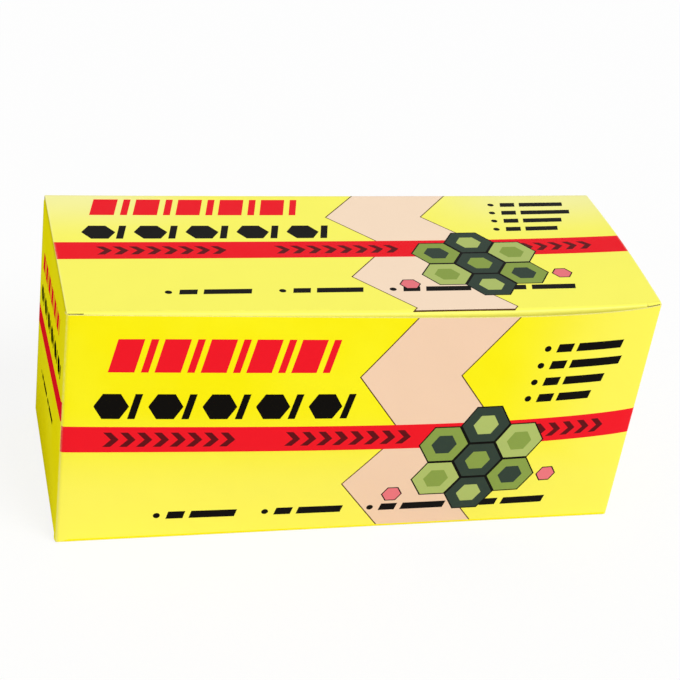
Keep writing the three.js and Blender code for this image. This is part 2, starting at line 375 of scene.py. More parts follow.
# The layout of a long wall's print
ribbon_start = 76
ribbon_width = 27
zigzag_height = 36
zigzag_slope = 0.75
outline_width = 0.4
foot_line = 0.6
chevron_pitch = 4.3
chevron_width = 2
chevron_reach = 2.3  # above and below the band's middle
chevron_slope = 0.9
chevron_groups = ((12.9, 45.5), (60.2, 92.8), (124.7, 150))
list_rows = ((126, 61.4, 13.2), (125, 56.1, 14.8), (124.2, 50.8, 11.6), (123.4, 45.5, 9.6))
low_row_start = 25.5
low_row_end = 141
low_row_pitch = 29.4
comb_centre = (113, 25)
comb_radius = 7.2
comb_line = 0.45
spots = ((134.6, 18.2), (90.6, 13.4))
spot_radius = 3
spot_line = 0.4

# Where the grounds pale with painted light, painted sheen and painted reflection, each as the two ends of a
# fade
floor_reflection_fade = (14, 46)
right_light_fade = (112, 150)
back_reflection_fade = (34, 62)
left_reflection_fade = (10, 50)
right_reflection_fade = (96, 138)
# How strongly painted light and the lid's painted sheen pale the grounds
painted_light_share = 0.9
corner_reflection_share = 0.8

# How the other panels' prints are fitted to them
lid_drop = 0.26
lid_squash = 0.87
end_climb = 0.12


def long_print(tree, u, v, ground, skin, foot=1, low_row=8.4, band=(30.4, 38.6)):
    """The print of a long wall or the lid, 158 x 72 mm. skin is the ribbon's colour. foot and low_row are
    the heights of its lower end and of the lowest row, and band is where the red band lies."""
    colour = ground

    # A zigzag ribbon behind everything else
    zigzag = (v.repeat(zigzag_height) - zigzag_height / 2).size() * zigzag_slope
    edge = u - zigzag - ribbon_start
    colour = paint(tree, colour, skin, edge.between(0, ribbon_width) * v.above(foot))
    outline = edge.between(-outline_width, 0).most(edge.between(ribbon_width, ribbon_width + outline_width))
    outline = outline.most(v.below(foot) * edge.between(0, ribbon_width))
    colour = paint(tree, colour, brown, outline * v.above(foot - foot_line))

    # The band across, with chevrons
    colour = paint(tree, colour, red, v.between(*band))
    from_middle = (v - (band[0] + band[1]) / 2).size()
    point = u + from_middle * chevron_slope
    first, second, third = (point.between(*group) for group in chevron_groups)
    chevrons = point.repeat(chevron_pitch).below(chevron_width) * first.most(second).most(third)
    colour = paint(tree, colour, maroon, chevrons * from_middle.below(chevron_reach))

    # Red bars over a row of black hexagons and bars
    colour = paint(tree, colour, red, bar_heading(u, v, 12, 57, (55.4, 65.2), 11.6, 6.6, (8.2, 10.1)))
    colour = paint(tree, colour, black, bead_heading(u, v, 8, 76.8, 13.8, 4.4, 4.5, 10.4, (1.9, 7.8)))

    # Rows of dots and bars
    along = (u - low_row_start).repeat(low_row_pitch)
    rows = item_row(along, v, 1, low_row, [(2.8, 4.6), (9, 12.4)]) * u.between(low_row_start, low_row_end)
    for start, height, length in list_rows:
        rows = rows.most(item_row(u, v, start, height, [(2.8, 4.4), (8.6, length)]))
    colour = paint(tree, colour, black, rows)

    # A comb of hexagons
    pitch = comb_radius * math.sqrt(3)
    cells = [(0, 0, dark_green, green)]
    fills = [(light_green, green), (dark_green, light_green), (green, dark_green)]
    for i in range(6):
        angle = math.radians(60 * i + 30)
        cells.append((pitch * math.cos(angle), pitch * math.sin(angle), *fills[i % len(fills)]))
    for x, y, fill, core in cells:
        centre = (comb_centre[0] + x, comb_centre[1] + y)
        colour = paint(tree, colour, black, hexagon(u, v, centre, comb_radius))
        colour = paint(tree, colour, fill, hexagon(u, v, centre, comb_radius - comb_line))
        colour = paint(tree, colour, core, hexagon(u, v, centre, comb_radius / 2))
    for centre in spots:
        colour = paint(tree, colour, black, hexagon(u, v, centre, spot_radius))
        colour = paint(tree, colour, pink, hexagon(u, v, centre, spot_radius - spot_line))
    return colour


def wall_print(tree, u, v, ground):
    """A long wall's print. Its ground is paler low down, a painted reflection of the floor, and to the
    right, painted light.
    """
    lit_mask = (1 - v.fade(*floor_reflection_fade)).most(u.fade(*right_light_fade) * painted_light_share)
    return long_print(tree, u, v, paint(tree, ground, lit_yellow, lit_mask), peach)


def lid_print(tree, u, v, ground):
    """The same, drawn flatter to suit the lid's depth, on a ground paled all over by a painted sheen and
    further to its back corners by a painted reflection. Its paler peach is painted sheen too.
    """
    # Painted sheen all over, then a painted reflection towards the back corners
    ground = paint(tree, ground, sheen_yellow, painted_light_share)
    corners = v.fade(*back_reflection_fade) * (1 - u.fade(*left_reflection_fade)).most(u.fade(*right_reflection_fade))
    ground = paint(tree, ground, reflection_yellow, corners * corner_reflection_share)
    v = (v - lid_drop) / lid_squash
    return long_print(tree, u, v, ground, sheen_peach, foot=-1.2, low_row=10.6, band=(29.4, 39.1))


def end_print(tree, u, v, ground):
    """The print of an end wall, 60 x 72 mm. It climbs a little to the right."""
    v = v - u * end_climb
    colour = paint(tree, ground, red, bar_heading(u, v, 9, 41, (52.5, 58), 7, 4, (5, 6)))
    colour = paint(tree, colour, black, bead_heading(u, v, 6, 56.4, 8.4, 2.8, 2.8, 6.6, (1.2, 4.8)))
    colour = paint(tree, colour, red, v.between(32.6, 38.6))
    row = item_row(u, v, 14, 22, [(2, 3), (6, 8), (16, 3), (20, 9)], 1.7)
    return paint(tree, colour, black, row)


# Board

far = 400  # a print's size where its edge is out of reach
# Paler ink along the folds, partly wear and partly a painted highlight:
wear_and_sheen_reach = 0.9  # from a fold
wear_and_sheen_share = 0.45
buckle = 0.6 * MM  # of the walls' soft unevenness
coat_grain = 0.012 * MM
fibre_depth = 0.04 * MM


def board_material(name, draw=None, width=far, height=far, foot=0, gloss=0.03):
    """Coated board, printed by draw, with paler ink along its folds, partly wear and partly a painted
    highlight. foot is its lower fold's height.
    """
    m = Material(name)
    u, v = m.u, m.v
    colour = paint(m.tree, yellow, cloud_yellow, m.noise(0.03, 3).fade(0.35, 0.7))
    if draw:
        colour = draw(m.tree, u, v, colour)
    mottle = m.noise(0.9, 4)
    to_edge = u.least(width - u).least(v - foot).least(height - v)
    # Paler ink along the folds: partly wear, partly a painted highlight
    wear_and_sheen = (1 - to_edge.fade(0, wear_and_sheen_reach)) * mottle.fade(0.1, 0.8)
    colour = paint(m.tree, colour, wear_and_sheen_ink, wear_and_sheen * wear_and_sheen_share)
    m.bump((m.noise(0.045), buckle), (m.noise(1.6, 3, (1, 0.6)), coat_grain))
    return m.finish(colour, mottle * 0.1 + 0.32, Specular_IOR_Level=gloss)


def inside_material():
    """Bare grey board with darker flecks."""
    m = Material("board_inside")
    fibre = m.noise(1.4, 6, (1, 0.35))
    colour = m.mix(linear(203, 196, 180), linear(222, 217, 204), fibre)
    colour = paint(m.tree, colour, linear(150, 140, 122), m.noise(3.2).fade(0.68, 0.75) * 0.5)
    m.bump((fibre, fibre_depth))
    return m.finish(colour, 0.85, Specular_IOR_Level=0.2)


def fibre_material(name, darker, lighter, scale, roughness, **constants):
    """A fibrous finish that mixes two colours."""
    m = Material(name)
    fibre = m.noise(scale, 5, (1, 0.4))
    m.bump((fibre, fibre_depth))
    return m.finish(m.mix(darker, lighter, fibre), roughness, **constants)


def cut_material():
    m = Material("board_cut_edge")
    fibre = m.noise(2.2, 5, (1, 4))
    colour = paint(m.tree, linear(242, 232, 122), linear(250, 242, 150), fibre.fade(0.35, 0.65))
    m.bump((fibre, 0.05 * MM))
    return m.finish(colour, 0.9, Specular_IOR_Level=0.2)


wall_board = board_material("front_board", wall_print, 2 * half_length / MM)
end_board = board_material("end_board", end_print, 2 * half_depth / MM, gloss=0)
lid_board = board_material("lid_board", lid_print, 2 * half_length / MM, 2 * half_depth / MM, -6)
plain_board = board_material("plain_board")
# The tuck flap's face is printed in the lid's paler yellow: painted light on a face that lies in shade.
tuck_board = board_material("tuck_board", lambda tree, u, v, ground: sheen_yellow, gloss=0.25)
inside = inside_material()
cut_edge = cut_material()

# Each panel's material and how its print lies on it. The plain ones lie clear of the print's edges.
panel_prints = {
    "front": (wall_board, lambda x, y, z: (x + half_length, z)),
    "back": (wall_board, lambda x, y, z: (half_length - x, z)),
    "left": (end_board, lambda x, y, z: (half_depth - y, z)),
    "right": (end_board, lambda x, y, z: (y + half_depth, z)),
    "lid": (lid_board, lambda x, y, z: (x + half_length, y + half_depth)),
    "flat": (plain_board, lambda x, y, z: (x + 2 * half_length, y + 4 * half_depth)),
    "upright": (plain_board, lambda x, y, z: (x + 2 * half_length, z + 2 * half_depth)),
    "tuck": (tuck_board, lambda x, y, z: (x + 2 * half_length, z + 2 * half_depth)),
}


# Meshes


class Shell:
    """Collects faces, their materials and their places on the Print map into one object."""

    def __init__(self):
        self.points = []
        self.faces = []
        self.maps = []
        self.materials = []

    def add(self, points, faces, maps, materials):
        """maps holds the place of each corner of each face, in metres, and materials one for each face."""
        first = len(self.points)
        self.points.extend(tuple(p) for p in points)
        self.faces.extend(tuple(first + i for i in face) for face in faces)
        self.maps.extend(maps)
        self.materials.extend(materials)

    def make(self, name):
        mesh = bpy.data.meshes.new(name)
        mesh.from_pydata(self.points, [], self.faces)
        layer = mesh.uv_layers.new(name="Print")
        corners = [corner for face in self.maps for corner in face]
        layer.data.foreach_set("uv", (np.array(corners) / MM).ravel())
        used = list(dict.fromkeys(self.materials))
        for material in used:
            mesh.materials.append(material)
        mesh.polygons.foreach_set("material_index", [used.index(m) for m in self.materials])
        mesh.validate()
        mesh.shade_smooth()
        mesh.set_sharp_from_angle(angle=sharp_angle)
        piece = bpy.data.objects.new(name, mesh)
        bpy.context.scene.collection.objects.link(piece)
        return piece


def add_sheet(shell, points, panels):
    """Adds a sheet of board. points is its outer face, a grid seen from outside with columns to the right
    and rows up. panels names the panel of each column of cells."""
    grid = np.array(points, float)
    columns, rows = grid.shape[:2]
    normals = np.cross(np.gradient(grid, axis=0), np.gradient(grid, axis=1))
    normals /= np.linalg.norm(normals, axis=2, keepdims=True)
    both = np.concatenate([grid.reshape(-1, 3), (grid - normals * board).reshape(-1, 3)])
    count = columns * rows
    faces, maps, materials = [], [], []

    def add(face, panel, material=None):
        printed, lay = panel_prints[panel]
        faces.append(face)
        maps.append([lay(*both[i]) for i in face])
        materials.append(material or printed)

    for i in range(columns - 1):
        for j in range(rows - 1):
            a = i * rows + j
            b = a + rows
            add((a, b, b + 1, a + 1), panels[i])
            add((a + 1 + count, b + 1 + count, b + count, a + count), panels[i], inside)
    rim = [(i * rows, (i + 1) * rows, i) for i in range(columns - 1)]
    rim += [(count - rows + j, count - rows + j + 1, columns - 2) for j in range(rows - 1)]
    rim += [((i + 2) * rows - 1, (i + 1) * rows - 1, i) for i in range(columns - 1)]
    rim += [(j + 1, j, 0) for j in range(rows - 1)]
    for a, b, i in rim:
        add((b, a, a + count, b + count), panels[i], cut_edge)
    shell.add(both, faces, maps, materials)


def arc(centre, radius, start, end, steps=fold_steps):
    """Points on an arc between two angles in degrees."""
    angles = np.radians(np.linspace(start, end, steps + 1))
    return [(centre[0] + radius * math.cos(a), centre[1] + radius * math.sin(a)) for a in angles]


def spread(start, end, steps):
    """Evenly spaced numbers after start, up to end."""
    return list(np.linspace(start, end, steps + 1))[1:]


def lerp(a, b, share):
    return a + (b - a) * share


def rounded_reach(distance_from_tip, radius):
    """How far a rounded corner draws an edge in."""
    depth = max(0, radius - distance_from_tip)
    return radius - math.sqrt(max(0, radius**2 - depth**2))


# How the board has settled


def bow_at(x, z):
    """How far the front wall stands out at a place on it."""
    along = np.clip(x / half_length, -1, 1)
    across = (1 - along**2) ** bow_flatness * (1 + bow_skew * along)
    up = z / (front_top * bow_rise_share)
    rise = np.sin(math.pi / 2 * np.clip(up, 0, 1))
    over = np.clip(up - 1, 0, None) / (1 / bow_rise_share - 1)
    return front_bow * across * rise * (1 - (bow_top_loss - bow_top_skew * along) * over**2)


def front_edge(x):
    """The height of the front wall's cut edge."""
    return front_top + edge_rise + edge_lift * (x / half_length) ** 4


def dome(x):
    return 1 - np.clip(x / half_length, -1, 1) ** 2


def crease_swell(x):
    """The share of its swell that the lid's front fold has. It is fullest to the right of the middle."""
    return dome(x) * (1 + crease_skew * x / half_length)


def crease_at(x):
    """How far forward the lid's front fold reaches: it bows, but stays behind the front wall."""
    bowed = crease_bow * crease_swell(x) - crease_front
    behind = half_depth - board - crease_gap + bow_at(x, front_edge(x))
    return -((bowed**-crease_blend + behind**-crease_blend) / 2) ** (-1 / crease_blend)


def sag_at(x, y):
    """How far the lid hangs down. The middle of its back edge is lowest, and its right end arches up."""
    from_back = np.clip((half_depth - y) / (2 * half_depth), 0, 1)
    arch = end_arch * np.clip(x / half_length, 0, 1) ** 3 * np.sin(math.pi * from_back)
    return lid_sag * dome(x) * np.cos(math.pi / 2 * from_back) - arch


# The sleeve: glue flap, left end, front, right end and back in one folded sheet


def sleeve_columns():
    """Columns of x, y, lower edge, upper edge and panel, round the sleeve from the glue flap."""
    r = wall_radius
    near = half_length - r
    wall_top = back_high.z
    side_seam = wall_top - flap_radius - lead_in
    side_foot = side_low.z + flap_radius + lead_in
    back_seam = top - lid_radius - lead_in
    back_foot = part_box("base_inner_flap")[0].z + base_radius + lead_in
    front_foot = base_radius + lead_in
    columns = []

    def add(*column):
        columns.append(column)

    def add_corner(x, y, start, limits, panels):
        """limits gives the lower and upper edge at a place and a share of the turn."""
        for i, (x, y) in enumerate(arc((x, y), r, start, start + 90)[1:], 1):
            share = i / fold_steps
            add(x, y, *limits(x, share), panels[share > 0.5])

    def add_end(x, from_y, to_y, step, panel):
        """The stretch of an end wall between whose seams the dust flaps hang."""
        for y in (from_y, *spread(from_y, to_y, 14)):
            add(x, y, side_foot, side_seam, panel)
        add(x, to_y + step, wall_foot, wall_top, panel)

    for x in (glue_high.x, lerp(glue_high.x, -near, 0.5), -near):
        share = (x - glue_high.x) / (-near - glue_high.x)
        low = lerp(glue_low.z + glue_taper, side_foot, share)
        add(x, glue_high.y, low, lerp(glue_high.z - glue_taper, side_seam, share), "upright")
    add_corner(-near, glue_high.y - r, 90, lambda x, share: (side_foot, side_seam), ("left", "left"))
    add_end(-half_length, dust_high.y, dust_low.y, -step_width, "left")
    add(-half_length, -half_depth + r, wall_foot, wall_top, "left")
    rising = lambda x, share: (wall_foot, lerp(wall_top, front_edge(x), share))
    add_corner(-near, -half_depth + r, 180, rising, ("left", "front"))
    for x in spread(-near, near, 64):
        add(x, -half_depth, front_foot, front_edge(x), "front")
    falling = lambda x, share: (wall_foot, lerp(front_edge(x), wall_top, share))
    add_corner(near, -half_depth + r, 270, falling, ("front", "right"))
    add(half_length, dust_low.y - step_width, wall_foot, wall_top, "right")
    add_end(half_length, dust_low.y, dust_high.y, step_width, "right")
    add(half_length, half_depth - r, wall_foot, wall_top, "right")
    turning = lambda x, share: (lerp(wall_foot, back_foot, share), lerp(wall_top, back_seam, share))
    add_corner(near, half_depth - r, 0, turning, ("right", "back"))
    for x in spread(near, lid_low.x, 32):
        add(x, half_depth, back_foot, back_seam, "back")
    return columns


def make_sleeve():
    rows = 24
    columns = sleeve_columns()
    points = []
    for x, y, low, high, panel in columns:
        z = np.linspace(low, high, rows + 1)
        out = bow_at(x, z) if panel == "front" else np.zeros(rows + 1)
        points.append(np.stack([np.full(rows + 1, x), y - out, z], axis=1))
    shell = Shell()
    add_sheet(shell, points, [column[4] for column in columns[1:]])
    return shell.make("carton_sleeve")


# Sheets that fold over from a wall: each is a profile drawn across the fold, swept along it


def add_swept(shell, profile, place, limits, panels, count, flip=False):
    """profile holds points across the fold. limits gives the sweep's two ends for each of them, and place
    turns one of them and a distance along the fold into a point."""
    points = []
    for step, point in enumerate(profile):
        start, end = limits(step, point)
        points.append([place(point, s) for s in np.linspace(start, end, count + 1)])
    if flip:
        points = points[::-1]
        panels = panels[::-1]
    add_sheet(shell, points, panels)


def make_lid():
    """The top of the back wall, its fold and the lid up to its front seam."""
    r = lid_radius
    seam = top - r - lead_in
    profile = [(half_depth, seam)]
    profile += arc((half_depth - r, top - r), r, 0, 90)
    profile += [(y, top) for y in spread(half_depth - r, lid_seam, 40)]
    panels = ["back" if z < top - r / 3 else "lid" for y, z in profile[1:]]

    def place(point, x):
        y, z = point
        return (x, y, z - sag_at(x, y) * (z - seam) / (top - seam))

    shell = Shell()
    add_swept(shell, profile, place, lambda step, point: (lid_high.x, lid_low.x), panels, 64, flip=True)
    return shell.make("lid_sheet")


def tuck_rows():
    """The rows of the tuck's sheet: the lid's front and the flap by shares, the fold between by angles."""
    rows = [("lid", share) for share in (0, *spread(0, 1, 8))]
    rows += [("fold", angle) for angle in (90, *spread(90, 180, 12))]
    shown = tuck_shoulder - tuck_straight
    heights = [tuck_shoulder, tuck_shoulder - step_width, shown]
    heights += spread(shown, tuck_low.z + tuck_corner, 14)
    heights += [tuck_low.z + tuck_corner * (1 - math.sin(a)) for a in np.radians(spread(0, 90, 10))]
    return rows + [("flap", (z - tuck_low.z) / (top - tuck_radius - tuck_low.z)) for z in heights]


def tuck_limit(row):
    """How far to each side a row of the tuck's sheet reaches. Below the slits it is wider."""
    part, share = row
    if part == "lid":
        return lid_high.x
    z = lerp(tuck_low.z, top - tuck_radius, share)
    if part == "fold" or z > tuck_shoulder - step_width / 2:
        return tuck_high.x - slit
    return tuck_high.x - rounded_reach(z - tuck_low.z, tuck_corner)


def tuck_point(row, x):
    part, share = row
    r = tuck_radius + tuck_swell * crease_swell(x)
    front = crease_at(x)
    if part == "lid":
        y = lerp(lid_seam, front + r, share)
        return (x, y, top - sag_at(x, y))
    if part == "fold":
        angle = math.radians(share)
        y = front + r + r * math.cos(angle)
        return (x, y, top - r + r * math.sin(angle) - sag_at(x, y) * (1 + math.cos(angle)))
    fold_end = top - r
    z = lerp(tuck_low.z, fold_end, share)
    face = tuck_low.y + tuck_follow * (front - crease_front)
    return (x, face + (front - face) * math.exp(-(((z - fold_end) / tuck_settle) ** 2)), z)


def ear_point(share, x):
    """A place on the lid's corner beside a slit."""
    x, y, z = tuck_point(("lid", 1), x)
    return (x, lerp(y, ear_front - bow_at(x, front_edge(x)), share), z - ear_droop * share**2)


def make_tuck():
    rows = tuck_rows()
    on_lid = [part == "lid" or (part == "fold" and value < lid_print_end) for part, value in rows[1:]]
    panels = ["lid" if printed else "tuck" for printed in on_lid]
    shell = Shell()
    limits = [(-tuck_limit(row), tuck_limit(row)) for row in rows]
    add_swept(shell, rows, tuck_point, lambda step, row: limits[step], panels, 56)
    for sign in (-1, 1):
        edges = sorted((sign * (tuck_high.x - slit + step_width), sign * lid_high.x))
        add_swept(shell, [0, 0.5, 1], ear_point, lambda step, share: edges, ["lid"] * 2, 4)
    return shell.make("tuck_sheet")


def make_dust_flap(sign, name, node, lower=False):
    """A flap creased along an end wall's top, or its foot."""
    low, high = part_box(node)
    r = flap_radius
    wall = half_length
    tip = min(abs(low.x), abs(high.x))
    face = low.z if lower else high.z
    turn = -1 if lower else 1
    profile = [(wall, face - turn * (r + lead_in))]
    profile += [(x, face - turn * (r - rise)) for x, rise in arc((wall - r, 0), r, 0, 90)]
    strip = wall - r - dust_strip
    profile += [(x, face) for x in (strip, *spread(strip, tip + dust_corner, 14))]
    profile += [(tip + dust_corner * (1 - math.sin(a)), face) for a in np.radians(spread(0, 90, 8))]

    def limits(step, point):
        run = max(0, wall - board - point[0])
        drawn = rounded_reach(point[0] - tip, dust_corner)
        front = low.y + dust_front_slope * max(0, run - dust_shoulder) + drawn
        back = high.y - dust_back_slope * run - drawn
        return (front, back) if sign > 0 else (back, front)

    def place(point, y):
        return (sign * point[0], y, point[1])

    side = "right" if sign > 0 else "left"
    panels = [side if i < fold_steps else "flat" for i in range(len(profile) - 1)]
    shell = Shell()
    add_swept(shell, profile, place, limits, panels, 28, flip=not lower)
    return shell.make(name)


def make_base_flap(sign, name, node):
    """A long flap creased at the foot of the front wall, or of the back wall."""
    low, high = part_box(node)
    edge = low.y if sign > 0 else -high.y
    r = base_radius
    profile = [(half_depth, low.z + r + lead_in)]
    profile += arc((half_depth - r, low.z + r), r, 0, -90)
    profile += [(y, low.z) for y in spread(half_depth - r, edge + base_chamfer, 20)]
    profile += [(y, low.z) for y in spread(edge + base_chamfer, edge, 6)]

    def limits(step, point):
        drawn = max(0, edge + base_chamfer - point[0])
        inset = lerp(wall_radius - board, 0, min(1, step / fold_steps))
        reach = sign * (high.x - drawn - inset)
        return (reach, -reach)

    def place(point, x):
        out = bow_at(x, point[1]) if sign < 0 else 0
        return (x, sign * (point[0] + out), point[1])

    shell = Shell()
    add_swept(shell, profile, place, limits, ["flat"] * (len(profile) - 1), 48)
    return shell.make(name)


def stand_for(piece, *nodes):
    """Hides the panels that a sheet of board replaces."""
    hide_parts(*nodes)


def add_carton():
    sleeve = make_sleeve()
    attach(sleeve, "carton")
    stand_for(sleeve, "front_panel", "back_panel", "left_panel", "right_panel", "glue_flap")

    lid = make_lid()
    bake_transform(lid)
    stand_for(lid, "lid_panel")

    tuck = make_tuck()
    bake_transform(tuck)
    stand_for(tuck, "tuck_flap")

    for sign, side in ((-1, "left"), (1, "right")):
        node = f"dust_flap_{side}"
        flap = make_dust_flap(sign, f"dust_sheet_{side}", node)
        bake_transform(flap)
        stand_for(flap, node)

        node = f"base_dust_flap_{side}"
        flap = make_dust_flap(sign, f"base_dust_sheet_{side}", node, lower=True)
        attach(flap, "carton")
        stand_for(flap, node)

    for sign, layer in ((-1, "outer"), (1, "inner")):
        node = f"base_{layer}_flap"
        flap = make_base_flap(sign, f"base_{layer}_sheet", node)
        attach(flap, "carton")
        stand_for(flap, node)


add_carton()


# Traps: a paper tube with a card cap, a kraft tab, a tack and, inside, a roll of sticky ribbon

row_length = 8
open_column = 3  # of the trap that is built down to its pieces, in the front row
turn_step = math.radians(47)
open_trap = f"front_trap_{open_column + 1}"
tube_low, tube_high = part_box(f"{open_trap}_tube")
base_low, base_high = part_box(f"{open_trap}_base_cap")
roll_low, roll_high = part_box(f"{open_trap}_ribbon_roll")
leader_low, leader_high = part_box(f"{open_trap}_ribbon_leader")
cap_low, cap_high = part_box(f"{open_trap}_cap")
tab_low, tab_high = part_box(f"{open_trap}_hang_tab")
tack_low, tack_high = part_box(f"{open_trap}_tack")
axis = (tube_low + tube_high) / 2

sides = 64
rim_steps = 4
rim_round = 0.2 * MM
tube_radius = (tube_high.x - tube_low.x) / 2
tube_wall = 0.6 * MM
seam_pitch = 16  # of the tube's spiral seam, up the tube
seam_climb = 0.42

roll_radius = (roll_high.x - roll_low.x) / 2
core_radius = 4.4 * MM
ribbon_sheet = 0.35 * MM
first_winding = 1.2  # of the ribbon's thicknesses out from the core
leader_width = 7.6 * MM
leader_turns = 2.5
leader_steps = 120

base_radius_of_cap = (base_high.x - base_low.x) / 2
cap_radius = (cap_high.x - cap_low.x) / 2
cap_gap = 0.1 * MM  # under the flange
cap_rim = 1 * MM
cap_slope = 0.4 * MM  # between the rim and the dish inside it
cap_dish = 0.25 * MM
plug_radius = 8.78 * MM
plug_round = 0.4 * MM

tab_start = tab_low.x - axis.x
tab_end = tab_high.x - axis.x
tab_half = (tab_high.y - tab_low.y) / 2
tab_sheet = tab_high.z - tab_low.z
tab_hole = 1.3 * MM
tab_corner = 1.6 * MM
tab_lift = 0.12 * MM  # of its free end
tab_edge = 0.08 * MM  # how far its edges are pressed down
tab_loops = (0, 0.03, 0.3, 0.65, 0.97, 1)  # shares of the way from the hole to the outline

tack_x = (tack_low.x + tack_high.x) / 2 - axis.x
tack_radius = (tack_high.x - tack_low.x) / 2
tack_sides = 32
head_thickness = 0.7 * MM
head_rim_share = 0.12  # of the head's thickness
head_foot_share = 0.94  # of the head's radius
pin_radius = 0.5 * MM
pin_point = 1.2 * MM
pin_tip_shares = (0.35, 0.45)  # of the pin's radius and of its point's length


def tube_material():
    """Kraft paper wound in a spiral, with a seam every turn."""
    m = Material("tube_paper")
    seam = (m.v - m.u * seam_climb).repeat(seam_pitch)
    fibre = m.noise(1.5, 5, (1, 0.35))
    colour = m.mix(linear(176, 140, 92), linear(202, 168, 120), fibre)
    colour = paint(m.tree, colour, linear(134, 100, 60), seam.below(0.35) * 0.8)
    m.bump((1 - seam.fade(0, 0.5), 0.12 * MM), (fibre, fibre_depth))
    return m.finish(colour, 0.75, Specular_IOR_Level=0.25)


def ribbon_material():
    """Amber film, glossy with glue, thicker in streaks."""
    m = Material("sticky_ribbon")
    streak = m.noise(0.5, 4, (1, 0.2))
    colour = m.mix(linear(188, 118, 20), linear(226, 166, 52), streak)
    m.bump((streak, 0.15 * MM))
    return m.finish(colour, 0.16, Specular_IOR_Level=0.6, Coat_Weight=0.5, Coat_Roughness=0.05)


def tack_material():
    """Brass plate with fine turning marks."""
    m = Material("tack_brass")
    colour = m.mix(linear(196, 158, 72), linear(232, 200, 118), m.noise(3, 3, (1, 0.1)))
    return m.finish(colour, 0.28, Metallic=1)


cap_red = (linear(176, 32, 34), linear(200, 52, 48))
kraft = (linear(178, 142, 94), linear(208, 176, 130))
shaded_kraft = (linear(150, 118, 76), linear(178, 146, 102))
tube_paper = tube_material()
sticky_ribbon = ribbon_material()
tack_brass = tack_material()
cap_card = fibre_material("cap_card", *cap_red, 1.2, 0.6, Specular_IOR_Level=0.3)
kraft_card = fibre_material("kraft_card", *kraft, 1.6, 0.8, Specular_IOR_Level=0.25)
tube_inside = fibre_material("tube_inside", *shaded_kraft, 1.5, 0.85)


def add_lathe(shell, profile, place, material, count=sides):
    """Turns a profile of (radius, height) about the axis. It runs from the axis, or round to its start."""
    points = []
    for r, z in profile:
        angles = [2 * math.pi * i / count for i in range(count)]
        points += [place @ Vector((r * math.cos(a), r * math.sin(a), z)) for a in angles]
    faces, maps = [], []
    along = 0
    for j, (start, end) in enumerate(zip(profile, profile[1:])):
        after = along + math.dist(start, end)
        side = 2 * math.pi * max(start[0], end[0]) / count
        for i in range(count):
            k = (i + 1) % count
            face = [j * count + i, j * count + k, (j + 1) * count + k, (j + 1) * count + i]
            left, right = side * i, side * (i + 1)
            laid = [(left, along), (right, along), (right, after), (left, after)]
            kept = slice(1, 4) if start[0] == 0 else slice(0, 3) if end[0] == 0 else slice(0, 4)
            faces.append(face[kept])
            maps.append(laid[kept])
        along = after
    shell.add(points, faces, maps, [material] * len(faces))


def rounded_rim(radius, low, high, r=rim_round):
    """The section of a disc's edge, rounded by r below and above."""
    profile = arc((radius - r, low + r), r, 270, 360, rim_steps)
    return profile + arc((radius - r, high - r), r, 0, 90, rim_steps)


def rounded_ring(inner, outer, low, high, r=rim_round):
    """The section of a ring with rounded rims, anticlockwise from its inner foot."""
    profile = [(inner, low + r)]
    profile += arc((inner + r, low + r), r, 180, 270, rim_steps)[1:]
    profile += rounded_rim(outer, low, high, r)
    profile += arc((inner + r, high - r), r, 90, 180, rim_steps)
    return profile + [(inner, low + r)]


def add_tube(shell, place):
    section = rounded_ring(tube_radius - tube_wall, tube_radius, tube_low.z, tube_high.z, tube_wall / 3)
    add_lathe(shell, section[:-1], place, tube_paper)
    add_lathe(shell, section[-2:], place, tube_inside)


def add_base_cap(shell, place):
    low, high = base_low.z, base_high.z
    add_lathe(shell, [(0, low), *rounded_rim(base_radius_of_cap, low, high), (0, high)], place, cap_card)


def add_cap(shell, place):
    """A plug inside the tube's mouth under a flange with a raised rim."""
    low, high = cap_low.z, cap_high.z
    flange = tube_high.z + cap_gap
    inside_rim = cap_radius - cap_rim
    profile = [(0, low)]
    profile += arc((plug_radius - plug_round, low + plug_round), plug_round, 270, 360, rim_steps)
    profile += [(plug_radius, flange), *rounded_rim(cap_radius, flange, high)]
    profile += [(inside_rim, high), (inside_rim - cap_slope, high - cap_dish), (0, high - cap_dish)]
    add_lathe(shell, profile, place, cap_card)


def tab_outline():
    """The tab's edge, anticlockwise: its fixed end is square and its free end has rounded corners."""
    x_in = tab_end - tab_corner
    y_in = tab_half - tab_corner
    points = [(x, -tab_half) for x in (tab_start, *spread(tab_start, x_in, 8))]
    points += arc((x_in, -y_in), tab_corner, 270, 360)[1:]
    points += [(tab_end, y) for y in spread(-y_in, y_in, 3)]
    points += arc((x_in, y_in), tab_corner, 0, 90)[1:]
    points += [(x, tab_half) for x in spread(x_in, tab_start, 8)]
    return points + [(tab_start, y) for y in spread(tab_half, -tab_half, 6)[:-1]]


